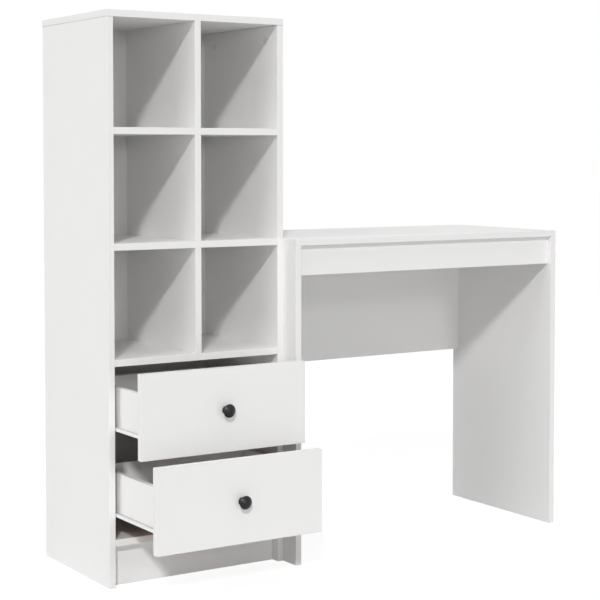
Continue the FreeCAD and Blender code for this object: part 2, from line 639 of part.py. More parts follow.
for name, solids in pieces.items():
    if name in holes:
        solids = [solid.cut(holes[name]) for solid in solids]
    bare = [single for shape in solids for single in shape.Solids]
    node = bare[0] if len(bare) == 1 else Part.makeCompound(bare)
    node.translate(ORIGIN * -1)
    node.exportStep("parts/" + name + ".step")

print(len(pieces), "nodes; runner", RUNNER_LENGTH, "mm, full travel", FULL_TRAVEL, "mm")
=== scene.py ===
# %% [markdown]
# # A writing desk beside a shelf tower
#
# A desk of coated chipboard stands against a tall tower with six open cubbies and two drawers.
# The maker's model already holds every board, rail and roller at its real size. This file loads
# that model, never moves it, and adds all that meets the eye: the finish of each material, the
# small turned and pressed fittings, a floor, soft light and a camera.

# %% Load the maker's model
import math

import bmesh
import bpy
import numpy as np
from mathutils import Matrix, Vector


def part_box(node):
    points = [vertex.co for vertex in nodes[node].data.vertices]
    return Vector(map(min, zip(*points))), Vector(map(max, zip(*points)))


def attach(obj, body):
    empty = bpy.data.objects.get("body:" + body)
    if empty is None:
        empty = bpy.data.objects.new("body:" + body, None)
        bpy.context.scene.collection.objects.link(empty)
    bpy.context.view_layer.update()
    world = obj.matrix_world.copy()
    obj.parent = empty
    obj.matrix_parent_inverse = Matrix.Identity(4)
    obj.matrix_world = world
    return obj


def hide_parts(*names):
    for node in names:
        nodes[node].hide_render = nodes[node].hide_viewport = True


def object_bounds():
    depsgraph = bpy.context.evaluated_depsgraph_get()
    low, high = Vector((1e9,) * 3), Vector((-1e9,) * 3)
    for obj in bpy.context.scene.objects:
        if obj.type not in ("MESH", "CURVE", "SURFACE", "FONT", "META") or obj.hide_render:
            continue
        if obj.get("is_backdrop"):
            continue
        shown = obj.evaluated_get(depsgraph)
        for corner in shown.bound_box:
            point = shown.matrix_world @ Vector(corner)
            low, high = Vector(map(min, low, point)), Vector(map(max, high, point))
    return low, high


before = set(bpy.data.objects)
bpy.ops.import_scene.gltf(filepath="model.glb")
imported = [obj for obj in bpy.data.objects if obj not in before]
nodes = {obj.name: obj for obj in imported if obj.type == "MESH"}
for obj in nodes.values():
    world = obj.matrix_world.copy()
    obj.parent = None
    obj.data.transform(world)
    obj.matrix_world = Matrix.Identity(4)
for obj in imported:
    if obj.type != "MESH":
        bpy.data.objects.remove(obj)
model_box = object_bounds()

MM = 0.001
DRAWERS = ("upper_drawer", "lower_drawer")

print("box in metres", [[round(value, 3) for value in corner] for corner in model_box])

# %% [markdown]
# ## Arithmetic on shader sockets
#
# A finish is a small formula: a base colour, a little more noise here, a thin line there. Wiring
# each sum by hand hides the formula, so this class wraps an output socket and lets Python's
# operators add the Math nodes. The reflected forms are there so that 1 - mask works too. The
# last lines try it out on a throwaway material.


# %% Shader arithmetic
class Wire:
    """An output socket that can be added, multiplied and compared in a formula."""

    def __init__(self, tree, socket):
        self.tree = tree
        self.socket = socket

    def combined(self, operation, first, second):
        result = self.tree.nodes.new("ShaderNodeMath")
        result.operation = operation
        for slot, value in zip(result.inputs, (first, second)):
            if isinstance(value, Wire):
                self.tree.links.new(value.socket, slot)
            else:
                slot.default_value = value
        return Wire(self.tree, result.outputs[0])

    def __add__(self, other):
        return self.combined("ADD", self, other)

    __radd__ = __add__

    def __sub__(self, other):
        return self.combined("SUBTRACT", self, other)

    def __rsub__(self, other):
        return self.combined("SUBTRACT", other, self)

    def __mul__(self, other):
        return self.combined("MULTIPLY", self, other)

    __rmul__ = __mul__

    def __abs__(self):
        return self.combined("ABSOLUTE", self, 0.0)

    def larger(self, other):
        return self.combined("MAXIMUM", self, other)

    def sine(self):
        return self.combined("SINE", self, 0.0)


trial = bpy.data.materials.new("trial")
trial.use_nodes = True
one = Wire(trial.node_tree, trial.node_tree.nodes.new("ShaderNodeValue").outputs[0])
print("1 - wire * 2 ends in", (1 - one * 2).socket.node.operation)
bpy.data.materials.remove(trial)

# %% [markdown]
# ## Building a finish node by node
#
# Every finish needs the same few steps: add a node, set it up, link its sockets. One method does
# this for any node type, so a finish reads as a recipe. Noise, ramps, blends and bump are small
# methods on top of it. A library of ready materials would be quicker, but couldn't follow this
# desk's boards. The same class also builds the world, which has a node tree of its own.


# %% Finish and grey
class Finish:
    """A material, or a world, that is built node by node."""

    def __init__(self, name, owner=None):
        self.material = owner or bpy.data.materials.new(name)
        self.material.use_nodes = True
        self.tree = self.material.node_tree
        self.tree.nodes.clear()

    def node(self, kind, settings=None, sockets=None, out=0):
        """Adds a node: its settings, then its sockets' values or links; out names its output."""
        made = self.tree.nodes.new("ShaderNode" + kind)
        for key, value in (settings or {}).items():
            if key == "stops":
                self.set_stops(made.color_ramp, value)
            else:
                setattr(made, key, value)
        for key, value in (sockets or {}).items():
            slot = next(s for s in made.inputs if s.enabled and s.name == key)
            if isinstance(value, Wire):
                self.tree.links.new(value.socket, slot)
            else:
                slot.default_value = value
        if out is None:
            return None
        if isinstance(out, int):
            return Wire(self.tree, made.outputs[out])
        return Wire(self.tree, next(s for s in made.outputs if s.enabled and s.name == out))

    def set_stops(self, ramp, stops):
        while len(ramp.elements) < len(stops):
            ramp.elements.new(1.0)
        for element, (place, colour) in zip(ramp.elements, stops):
            element.position = place
            element.color = (*colour, 1.0)

    def place(self):
        return self.node("TexCoord", out="Object")

    def facing(self):
        """The surface's own direction, split in X, Y and Z."""
        return self.split(self.node("TexCoord", out="Normal"))

    def split(self, vector):
        """A vector's three numbers."""
        parts = self.node("SeparateXYZ", sockets={"Vector": vector}).socket.node
        return [Wire(self.tree, socket) for socket in parts.outputs]

    def noise(self, size, detail=2.0, roughness=0.5, shift=(0.0, 0.0, 0.0)):
        """Soft noise whose blotches are about as large as size, in metres."""
        moved = self.node("Mapping", sockets={"Vector": self.place(), "Location": shift})
        return self.node(
            "TexNoise",
            sockets={"Vector": moved, "Scale": 1 / size, "Detail": detail, "Roughness": roughness},
            out="Fac",
        )

    def ramp(self, value, stops):
        return self.node("ValToRGB", {"stops": stops}, {"Fac": value}, out="Color")

    def fade(self, value, low, high):
        """0 where the value is at or under low, 1 where it is at or over high."""
        return self.node(
            "MapRange", {"interpolation_type": "SMOOTHSTEP"},
            {"Value": value, "From Min": low, "From Max": high}, out="Result",
        )

    def blend(self, share, first, second):
        """Colour between first and second."""
        return self.node(
            "Mix", {"data_type": "RGBA"}, {"Factor": share, "A": first, "B": second}, out="Result"
        )

    def relief(self, height, depth, strength):
        """Raises the surface by up to depth, in metres."""
        return self.node(
            "Bump", sockets={"Height": height, "Distance": depth, "Strength": strength},
            out="Normal",
        )

    def shade(self, sockets):
        surface = self.node("BsdfPrincipled", sockets=sockets)
        return self.end("OutputMaterial", surface)

    def end(self, kind, surface):
        """Closes the tree with its output node."""
        self.node(kind, sockets={"Surface": surface}, out=None)
        print(self.material.name, "-", len(self.tree.nodes), "nodes")
        return self.material


def grey(level, warmth=0.0):
    """A grey as a colour socket wants it; warmth takes a little blue away."""
    return (level, level * (1 - warmth / 2), level * (1 - warmth), 1.0)


print("a warm grey:", [round(part, 3) for part in grey(0.5, 0.1)])

# %% [markdown]
# ## Coated chipboard
#
# The boards are chipboard pressed between two white decor papers, with a plastic edging ironed
# on their cut edges. A flat white would look like paper. The real sheet has a fine pearl that
# breaks up reflections, slow drifts in gloss, and a hair line where the edging meets the face.
# An image could carry this, but each board has its own size, so the line would slide. Here it is
# worked out from the board's own limits, read from the model. The tower's top board lies on its
# two sides with a hair of a gap. The model's boards touch there, so the shade in that gap is
# painted as a dark line at the top end of each side.

# %% Edging and pearl
WHITE, WARMTH, TONE_DRIFT = 0.882, 0.012, 0.008
EDGING_WHITE = grey(0.865, 0.016)
GLUE_GREY = grey(0.52, 0.05)
EDGING = 1.0 * MM
GLUE_LINE = 0.12 * MM
PEARL = 0.55 * MM
# Painted shade: width and dark grey of the line that stands for the shadow in the gap under the
# top.
GAP_SHADE_WIDTH, GAP_SHADE_GREY = 0.6 * MM, grey(0.16, 0.05)


def edge_masks(finish, node, edges):
    """Masks of the edging strip and of the glue line beside it, for the edges that carry one."""
    low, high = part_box(node)
    place = finish.split(finish.place())
    strip, line = None, None
    for axis, end in edges:
        inward = place[axis] - low[axis] if end < 0 else high[axis] - place[axis]
        on_strip = 1 - finish.fade(inward, EDGING - GLUE_LINE, EDGING)
        on_line = 1 - finish.fade(abs(inward - EDGING), GLUE_LINE / 2, GLUE_LINE)
        strip = on_strip if strip is None else strip.larger(on_strip)
        line = on_line if line is None else line.larger(on_line)
    return strip, line


def coated_board(node, edges, gap_shaded=False):
    """White melamine for one board, with edging on the named edges and painted gap shade at its
    top end.
    """
    finish = Finish("melamine_" + node)
    low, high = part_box(node)
    own = (low + high) * 7
    strip, line = edge_masks(finish, node, edges)
    drift = finish.noise(0.22, detail=3, shift=own)
    pearl = finish.noise(PEARL, detail=2, roughness=0.55)
    mottle = finish.noise(2.4 * MM, detail=2, shift=own)
    tone = finish.fade(drift * 0.7 + mottle * 0.3, 0.3, 0.7)
    dull, bright = WHITE * (1 - TONE_DRIFT), WHITE * (1 + TONE_DRIFT)
    face = finish.blend(tone, grey(dull, WARMTH), grey(bright, WARMTH))
    edged = finish.blend(strip, face, EDGING_WHITE)
    colour = finish.blend(line, edged, GLUE_GREY)
    if gap_shaded:
        # painted shade: a dark line at the top end stands for the shadow in the gap under the
        # tower's top
        under_top = high.z - finish.split(finish.place())[2]
        gap_shade = 1 - finish.fade(under_top, GAP_SHADE_WIDTH * 0.8, GAP_SHADE_WIDTH)
        colour = finish.blend(gap_shade, colour, GAP_SHADE_GREY)
    gloss = 0.40 + drift * 0.1 + mottle * 0.06 - strip * 0.08 + line * 0.2
    height = pearl * (1 - strip) + strip * 0.4 - line * 0.8
    return finish.shade(
        {
            "Base Color": colour,
            "Roughness": gloss,
            "Normal": finish.relief(height, 0.03 * MM, 0.5),
            "Specular IOR Level": 0.3,
        }
    )


print("edging", EDGING / MM, "mm, pearl", PEARL / MM, "mm, seam", GAP_SHADE_WIDTH / MM, "mm")

# %% [markdown]
# ## Which edges carry edging
#
# A maker only pays for edging where it shows. The tower's uprights and shelves have it in front,
# the desk's top and legs in front, behind and at their outer ends, and drawer fronts all round.
# Plinth, apron and modesty panel have it below, the drawer boxes on top. Each board is a mesh of
# its own in the model, so each gets its own copy of the finish, and its slow drift of tone starts
# at its own place: no two boards look cut from one sheet.

# %% Finish the boards
X, Y, Z = 0, 1, 2
FRONT = [(Y, -1)]
ROUND_TOP = [(Y, -1), (Y, 1), (X, -1), (X, 1)]
ROUND_FRONT = [(X, -1), (X, 1), (Z, -1), (Z, 1)]
LEG = [(Y, -1), (Y, 1), (Z, -1)]

edged = {
    "tower_left_side": FRONT,
    "tower_right_side": FRONT,
    "tower_top": ROUND_TOP,
    "tower_bottom": FRONT,
    "drawer_cover_shelf": FRONT,
    "lower_shelf": FRONT,
    "upper_shelf": FRONT,
    "bottom_divider": FRONT,
    "middle_divider": FRONT,
    "top_divider": FRONT,
    "tower_plinth": [(Z, -1)],
    "desk_top": ROUND_TOP,
    "desk_left_leg": LEG,
    "desk_right_leg": LEG,
    "desk_apron": [(Z, -1)],
    "modesty_panel": [(Z, -1)],
    "upper_drawer_front": ROUND_FRONT,
    "lower_drawer_front": ROUND_FRONT,
}
for drawer in DRAWERS:
    for piece in ("left_side", "right_side", "back"):
        edged[drawer + "_" + piece] = [(Z, 1)]
# the sides that get the painted shade of the gap under the tower's top
GAP_SHADED_SIDES = ("tower_left_side", "tower_right_side")


def wear(node, material):
    """Gives a node of the model its finish."""
    mesh = nodes[node].data
    mesh.materials.clear()
    mesh.materials.append(material)


for node, edges in edged.items():
    wear(node, coated_board(node, edges, gap_shaded=node in GAP_SHADED_SIDES))
print(len(edged), "boards finished")

# %% [markdown]
# ## Hardboard
#
# The tower's back and the drawer bottoms are 3 mm hardboard: wood fibre pressed on a wire screen.
# One face is lacquered white and smooth. The other keeps the fibre's brown and the screen's
# print. Two materials split by face would need the mesh cut up, and the model's mesh is never
# changed. So one finish asks the surface which way it faces and shows the right side.

# %% Hardboard finish
FIBRE = 0.9 * MM
SCREEN_PITCH = 1.7 * MM


def hardboard(node, axis, white_side):
    """Hardboard whose white face looks along the axis, towards white_side (-1 or 1)."""
    finish = Finish("hardboard_" + node)
    place = finish.split(finish.place())
    white = finish.fade(finish.facing()[axis] * white_side, 0.4, 0.6)
    fibre = finish.noise(FIBRE, detail=5, roughness=0.7)
    clouds = finish.noise(60 * MM, detail=3)
    across, along = [place[i] for i in range(3) if i != axis]
    wave = 2 * math.pi / SCREEN_PITCH
    screen = (across * wave).sine() * (along * wave).sine()
    brown = finish.ramp(
        fibre * 0.82 + clouds * 0.18,
        [(0.25, (0.16, 0.088, 0.045)), (0.5, (0.27, 0.16, 0.088)), (0.75, (0.40, 0.26, 0.15))],
    )
    lacquer = finish.blend(clouds, grey(0.80, 0.02), grey(0.815, 0.02))
    height = (1 - white) * (fibre * 0.5 + screen * 0.3) + white * fibre * 0.08
    return finish.shade(
        {
            "Base Color": finish.blend(white, brown, lacquer),
            "Roughness": 0.8 - white * 0.34 + fibre * 0.1,
            "Normal": finish.relief(height, 0.12 * MM, 0.7),
        }
    )


wear("tower_back", hardboard("tower_back", Y, -1))
for drawer in DRAWERS:
    wear(drawer + "_bottom", hardboard(drawer + "_bottom", Z, 1))

# %% [markdown]
# ## Powder paint and nylon
#
# The runners are sheet steel under white powder paint, which cures with a faint orange peel.
# Whatever faces up gets a painted shade of darker grey, so the finish asks the surface which
# way it faces. The rollers and the covers are moulded nylon, which shows soft flow marks and a
# fine grain. One noise in two sizes tells such plain finishes apart, so each stays short.


# %% Powder paint and nylon
def powder_paint():
    finish = Finish("powder_paint")
    peel = finish.noise(1.1 * MM, detail=1)
    grit = finish.noise(0.25 * MM, detail=2)
    # painted shade: whatever faces up is blended towards a darker grey
    top_shade = finish.fade(finish.facing()[2], 0.6, 0.9)
    paint = finish.blend(peel, grey(0.84, 0.012), grey(0.87, 0.012))
    return finish.shade(
        {
            "Base Color": finish.blend(top_shade, paint, grey(0.58, 0.02)),
            "Roughness": 0.34 + grit * 0.12,
            "Normal": finish.relief(peel * 0.8 + grit * 0.2, 0.04 * MM, 0.6),
        }
    )


def nylon():
    finish = Finish("moulded_nylon")
    flow = finish.noise(3 * MM, detail=2)
    grain = finish.noise(0.3 * MM, detail=2)
    return finish.shade(
        {
            "Base Color": finish.blend(flow, grey(0.77, 0.02), grey(0.82, 0.025)),
            "Roughness": 0.38 + grain * 0.14,
            "Normal": finish.relief(grain, 0.02 * MM, 0.5),
            "Specular IOR Level": 0.45,
        }
    )


POWDER, NYLON = powder_paint(), nylon()

# %% [markdown]
# ## Lacquer, zinc and beech
#
# The knobs are lacquered satin black: nearly black, with a cloudy gloss and a little dust under
# the coat. Screws, nails and bolts are zinc plated, a soft blue grey whose crystals cloud the
# reflections. The pegs are beech, with small flecks and wider rings. A black or grey of one
# value would look like plastic in all three, so colour and roughness both follow a noise.


# %% Lacquer, zinc and beech
def black_lacquer():
    finish = Finish("satin_black_lacquer")
    cloud = finish.noise(5 * MM, detail=2)
    dust = finish.noise(0.35 * MM, detail=3, roughness=0.65)
    return finish.shade(
        {
            "Base Color": finish.blend(cloud, grey(0.007, 0.07), grey(0.012, 0.08)),
            "Roughness": 0.28 + dust * 0.16,
            "Specular IOR Level": 0.3,
            "Normal": finish.relief(dust * 0.6 + cloud * 0.4, 0.03 * MM, 0.5),
        }
    )


def zinc():
    finish = Finish("zinc_plate")
    cloud = finish.noise(1.6 * MM, detail=4, roughness=0.6)
    scratch = finish.noise(0.3 * MM, detail=2)
    return finish.shade(
        {
            "Base Color": finish.ramp(
                cloud, [(0.3, (0.46, 0.47, 0.49)), (0.7, (0.66, 0.66, 0.64))]
            ),
            "Metallic": 1.0,
            "Roughness": 0.26 + cloud * 0.2 + scratch * 0.06,
            "Normal": finish.relief(scratch, 0.02 * MM, 0.5),
        }
    )


def beech():
    finish = Finish("beech")
    fleck = finish.noise(0.8 * MM, detail=4, roughness=0.6)
    ring = finish.noise(4 * MM, detail=2)
    return finish.shade(
        {
            "Base Color": finish.ramp(
                fleck * 0.5 + ring * 0.5,
                [(0.3, (0.46, 0.29, 0.16)), (0.7, (0.66, 0.47, 0.30))],
            ),
            "Roughness": 0.6 + fleck * 0.2,
            "Normal": finish.relief(fleck, 0.08 * MM, 0.6),
        }
    )


LACQUER, ZINC, BEECH = black_lacquer(), zinc(), beech()

# %% [markdown]
# ## Dressing the fittings
#
# The model names each fitting for what it is, so the end of the name tells its material. A list
# of every node would say the same and go stale when a fitting is added.

# %% Dress the fittings
FITTING_FINISHES = (POWDER, NYLON, LACQUER, ZINC, BEECH)
for name in nodes:
    if name.endswith("_rail"):
        wear(name, POWDER)
    elif name.endswith(("_roller", "_cams", "_cam_fittings")):
        wear(name, NYLON)
    elif name.endswith("_knob"):
        wear(name, LACQUER)
    elif name.endswith("_dowels"):
        wear(name, BEECH)
    elif name.endswith(("_screw", "_screws", "_bolts", "_nails")):
        wear(name, ZINC)
dressed = [name for name in nodes if nodes[name].data.materials[0] in FITTING_FINISHES]
print(len(dressed), "of", len(nodes), "nodes are fittings")

# %% [markdown]
# ## Turned pieces
#
# Knobs, wheels, screw heads and covers are all made on a lathe or in a round mould, so one
# helper turns an outline about an axis. The Screw modifier or a spin would do it too, but
# a ring of points per outline point is easy to read and always closes: the first and last points
# lie on the axis and become one point each. A finished mesh is then stood up where it belongs and
# shown as a piece that rides on one of the desk's bodies.


# %% Lathe
def arc(centre, radius, start, end, steps):
    """Points of a circle's arc as (radius, height) pairs; angles in degrees."""
    angles = [math.radians(start + (end - start) * step / steps) for step in range(steps + 1)]
    return [(centre[0] + radius * math.cos(a), centre[1] + radius * math.sin(a)) for a in angles]


def turned(name, outline, segments, material):
    """Turns an outline of (radius, height) pairs about Z; it starts and ends on the axis."""
    points, faces, rings = [], [], []
    for radius, height in outline:
        if radius < 1e-7:
            rings.append([len(points)])
            points.append((0, 0, height))
            continue
        rings.append(list(range(len(points), len(points) + segments)))
        for step in range(segments):
            angle = 2 * math.pi * step / segments
            points.append((radius * math.cos(angle), radius * math.sin(angle), height))
    for lower, upper in zip(rings, rings[1:]):
        for step in range(segments):
            after = (step + 1) % segments
            corners = [lower[step % len(lower)], lower[after % len(lower)],
                       upper[after % len(upper)], upper[step % len(upper)]]
            faces.append(list(dict.fromkeys(corners)))
    mesh = bpy.data.meshes.new(name)
    mesh.from_pydata(points, [], faces)
    mesh.materials.append(material)
    shape = bmesh.new()
    shape.from_mesh(mesh)
    bmesh.ops.recalc_face_normals(shape, faces=shape.faces)
    shape.to_mesh(mesh)
    shape.free()
    mesh.shade_smooth()
    return mesh


def stood(mesh, at, outward):
    """Turns the mesh's Z to the outward direction and moves its origin to the point."""
    tilt = Vector((0, 0, 1)).rotation_difference(Vector(outward)).to_matrix().to_4x4()
    mesh.transform(Matrix.Translation(at) @ tilt)
    return mesh


def show(name, mesh, body, stands_for=()):
    """Makes the mesh a piece of the scene that rides on a body."""
    piece = bpy.data.objects.new(name, mesh)
    bpy.context.scene.collection.objects.link(piece)
    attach(piece, body)
    if stands_for:
        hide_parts(*stands_for)
    print(name, "-", len(mesh.polygons), "faces")


print("a quarter turn in four steps:", len(arc((0, 0), 1.0, 0, 90, 4)), "points")

# %% [markdown]
# ## Where each fitting sits
#
# The model keeps identical fasteners together in one node: 35 nails, or the eight screws of a
# drawer's runners. Their places needn't be typed again. Each solid of the node is found by
# walking from point to point along its edges, its long side gives the axis, and the end where it
# is widest is the head. A set has no fixed order, so the solids follow the mesh's own order and
# their points are sorted: every run then gives each copy the same chance turn.


# %% Read the fittings' places
def solids(node):
    """The points of each separate solid of a node, one array per solid."""
    shape = bmesh.new()
    shape.from_mesh(nodes[node].data)
    bmesh.ops.remove_doubles(shape, verts=shape.verts, dist=MM / 1000)
    waiting, found = set(shape.verts), []
    for first in shape.verts:
        if first not in waiting:
            continue
        waiting.remove(first)
        front, island = [first], []
        while front:
            point = front.pop()
            island.append(point.co[:])
            near = {edge.other_vert(point) for edge in point.link_edges} & waiting
            waiting -= near
            front += near
        found.append(np.array(sorted(island)))
    shape.free()
    return found


def headed(points):
    """Top of a fastener's head, the way it looks, and the fastener's length."""
    low, high = points.min(0), points.max(0)
    axis = int(np.argmax(high - low))
    top = (low + high) / 2
    aside = points - top
    aside[:, axis] = 0
    away = np.linalg.norm(aside, axis=1)
    wide = points[away > away.max() - 0.01 * MM, axis].mean()
    outward = np.zeros(3)
    outward[axis] = 1 if wide > top[axis] else -1
    top[axis] = high[axis] if outward[axis] > 0 else low[axis]
    return top, outward, (high - low)[axis]


def capped(points):
    """Face of a cam and the way it looks: away from the hollow that holds the bolt."""
    low, high = points.min(0), points.max(0)
    axis = int(np.argmin(high - low))
    face = (low + high) / 2
    outward = np.zeros(3)
    outward[axis] = 1 if points[:, axis].mean() < face[axis] else -1
    face[axis] = high[axis] if outward[axis] > 0 else low[axis]
    return face, outward


print(len(solids("back_nails")), "nails,", len(solids("case_cams")), "cams in the case")

# %% [markdown]
# ## Placing fittings with Geometry Nodes
#
# A screw is modelled once, with its top at height 0. A node tree then puts a copy on every point
# of a small point mesh, stands it up along the point's outward direction, and gives it a chance
# turn, because nobody lines up the slots of hidden screws. Copies by hand or an array would need
# a transform each; here the tree's named inputs are the fitting, how far it rises over its seat,
# the largest turn and the seed. It ends in real geometry with its material set, and the result
# is taken as a plain mesh.


# %% Build the placing tree
def placing_tree():
    tree = bpy.data.node_groups.new("place_fittings", "GeometryNodeTree")
    tree.is_modifier = True
    for name, kind in (("Points", "Geometry"), ("Fitting", "Object"), ("Rise", "Float"),
                       ("Largest turn", "Float"), ("Seed", "Int"), ("Finish", "Material")):
        tree.interface.new_socket(name, in_out="INPUT", socket_type="NodeSocket" + kind)
    tree.interface.new_socket("Fittings", in_out="OUTPUT", socket_type="NodeSocketGeometry")

    def node(kind, settings=None, sockets=None):
        made = tree.nodes.new(kind)
        for key, value in (settings or {}).items():
            setattr(made, key, value)
        for key, value in (sockets or {}).items():
            slot = next(s for s in made.inputs if s.enabled and s.name == key)
            if isinstance(value, bpy.types.NodeSocket):
                tree.links.new(value, slot)
            else:
                slot.default_value = value
        return next(s for s in made.outputs if s.enabled)

    given = node("NodeGroupInput").node.outputs
    outward = node("GeometryNodeInputNamedAttribute", {"data_type": "FLOAT_VECTOR"},
                   {"Name": "outward"})
    upright = node("FunctionNodeAlignRotationToVector", {"axis": "Z"}, {"Vector": outward})
    turn = node("FunctionNodeRandomValue", {"data_type": "FLOAT"},
                {"Min": 0.0, "Max": given["Largest turn"], "Seed": given["Seed"]})
    spin = node("FunctionNodeAxisAngleToRotation", None, {"Axis": (0, 0, 1), "Angle": turn})
    pose = node("FunctionNodeRotateRotation", {"rotation_space": "LOCAL"},
                {"Rotation": upright, "Rotate By": spin})
    lift = node("ShaderNodeVectorMath", {"operation": "SCALE"},
                {"Vector": outward, "Scale": given["Rise"]})
    seat = node("GeometryNodeSetPosition", None, {"Geometry": given["Points"], "Offset": lift})
    master = node("GeometryNodeObjectInfo", {"transform_space": "ORIGINAL"},
                  {"Object": given["Fitting"]}).node.outputs["Geometry"]
    copies = node("GeometryNodeInstanceOnPoints", None,
                  {"Points": seat, "Instance": master, "Rotation": pose})
    real = node("GeometryNodeRealizeInstances", None, {"Geometry": copies})
    finished = node("GeometryNodeSetMaterial", None,
                    {"Geometry": real, "Material": given["Finish"]})
    end = tree.nodes.new("NodeGroupOutput")
    tree.links.new(finished, end.inputs[0])
    return tree


PLACING = placing_tree()
print("placing tree:", len(PLACING.nodes), "nodes")

# %% [markdown]
# ## Running the tree
#
# The seats become a point mesh that carries each outward direction as an attribute. The tree is
# added as a modifier, its inputs are set by each socket's identifier, and the evaluated result is
# copied to a plain mesh. Both helper objects then go, since only the mesh is wanted.

# %% Place copies of a fitting
SEED = 7


def placed(name, seats, master, material, rise=0.0, largest_turn=2 * math.pi):
    """One mesh with a copy of the master on every seat, a pair of point and outward direction."""
    points = bpy.data.meshes.new(name)
    points.from_pydata([seat[0] for seat in seats], [], [])
    outward = points.attributes.new("outward", "FLOAT_VECTOR", "POINT")
    outward.data.foreach_set("vector", np.array([seat[1] for seat in seats], float).ravel())
    carrier = bpy.data.objects.new(name, points)
    fitting = bpy.data.objects.new(name + "_master", master)
    for helper in (carrier, fitting):
        bpy.context.scene.collection.objects.link(helper)
    placer = carrier.modifiers.new("place", "NODES")
    placer.node_group = PLACING
    inputs = {"Fitting": fitting, "Rise": rise, "Largest turn": largest_turn, "Seed": SEED,
              "Finish": material}
    for item in PLACING.interface.items_tree:
        if item.name in inputs:
            placer[item.identifier] = inputs[item.name]
    ready = carrier.evaluated_get(bpy.context.evaluated_depsgraph_get())
    mesh = bpy.data.meshes.new_from_object(ready)
    mesh.name = name
    for helper in (carrier, fitting):
        bpy.data.objects.remove(helper)
    print(name, "-", len(seats), "copies placed")
    return mesh


# %% [markdown]
# ## Recesses for the driver
#
# A screw is driven by a cross in its head, a link bolt by a hexagon socket. Neither follows the
# rings of a turned mesh, so the recess is cut with a Boolean: a tapering prism is taken out of
# the head. The cut is made once, on the master, and every copy has it.


# %% Cut a driver's recess
TAPER = 0.72


def meshed(shape, name):
    """Turns a bmesh shape into a mesh whose faces point outwards."""
    bmesh.ops.recalc_face_normals(shape, faces=shape.faces)
    mesh = bpy.data.meshes.new(name)
    shape.to_mesh(mesh)
    shape.free()
    return mesh


def prism(outline, bottom, top):
    """An upright prism from a closed outline of (x, y) points, tapering to the bottom."""
    shape = bmesh.new()
    low = [shape.verts.new((x * TAPER, y * TAPER, bottom)) for x, y in outline]
    high = [shape.verts.new((x, y, top)) for x, y in outline]
    shape.faces.new(low)
    shape.faces.new(high)
    for i in range(len(outline)):
        j = (i + 1) % len(outline)
        shape.faces.new((low[i], low[j], high[j], high[i]))
    return meshed(shape, "cutter")


def cross(arm, width):
    """Outline of a plus sign with arms of that reach and width."""
    half = width / 2
    corner = [(half, half), (half, arm), (-half, arm)]
    return [(x * math.cos(a) - y * math.sin(a), x * math.sin(a) + y * math.cos(a))
            for a in (0, math.pi / 2, math.pi, 3 * math.pi / 2) for x, y in corner]


def polygon(radius, corners):
    return [(radius * math.cos(2 * math.pi * i / corners),
             radius * math.sin(2 * math.pi * i / corners)) for i in range(corners)]


def recessed(mesh, outline, depth):
    """Cuts the outline into the mesh's top, which is at height 0."""
    whole = bpy.data.objects.new("whole", mesh)
    cutter = bpy.data.objects.new("cutter", prism(outline, -depth, MM))
    for helper in (whole, cutter):
        bpy.context.scene.collection.objects.link(helper)
    cut = whole.modifiers.new("recess", "BOOLEAN")
    cut.operation = "DIFFERENCE"
    cut.object = cutter
    ready = whole.evaluated_get(bpy.context.evaluated_depsgraph_get())
    result = bpy.data.meshes.new_from_object(ready)
    for helper in (whole, cutter):
        bpy.data.objects.remove(helper)
    result.shade_smooth()
    result.set_sharp_from_angle(angle=math.radians(35))
    return result


print("a cross has", len(cross(2.0, 0.5)), "corners")

# %% [markdown]
# ## Pan head screws
#
# The head is a low dome on a short rim. The shank below is turned with a row of small ridges,
# one to each turn of the thread. A true helix would cost thousands of faces and is hidden in the
# board; ridges look the same where a screw is seen from the side.


# %% Turn a screw
PITCH = 1.4 * MM


def screw(head_radius, head, shank_radius, length):
    """A pan head screw, its top at height 0, its thread below."""
    crown = head * 0.45
    ridge, turns = shank_radius * 0.82, int((length - head - 2 * shank_radius) / PITCH)
    outline = [(0, 0)] + [(head_radius * run, -crown * fall)
                          for run, fall in ((0.35, 0.05), (0.62, 0.2), (0.84, 0.5), (1.0, 1.0))]
    outline += [(head_radius, -head * 0.9), (head_radius * 0.97, -head), (ridge, -head)]
    for step in range(turns):
        start = -head - PITCH * step
        outline += [(ridge, start - PITCH * 0.35), (shank_radius, start - PITCH * 0.6),
                    (ridge, start - PITCH * 0.85)]
    outline += [(ridge, -length + 2 * shank_radius), (0, -length)]
    print("screw", round(length / MM, 1), "mm long with", turns, "turns of thread")
    return turned("screw", outline, 20, ZINC)


# %% [markdown]
# ## The knobs
#
# Each drawer has one mushroom knob, turned from wood or zinc and lacquered. Its foot is a small
# disc, the neck is waisted, and the cap is a flat dome with a soft rim. The model's knob gives
# the reach and the widest radius. The outline here is finer, with a small bead at the foot and
# a slight step under the crown that catches the light.

# %% Turn the knobs
FOOT_THICK, FOOT_STEP, FOOT_CHAMFER = 1.8 * MM, 1.1 * MM, 0.4 * MM
NECK_CURVE = [(0.35, 0.16), (0.72, 0.42), (0.94, 0.7), (1.0, 1.0)]
CAP_CURVE = [(0.03, 0.25), (0.16, 0.5), (0.45, 0.76), (0.78, 0.92)]


def between(start, end, shares):
    """Points on a curve from start to end, as shares of the way out and of the way up."""
    return [(start[0] + (end[0] - start[0]) * run, start[1] + (end[1] - start[1]) * rise)
            for run, rise in shares]


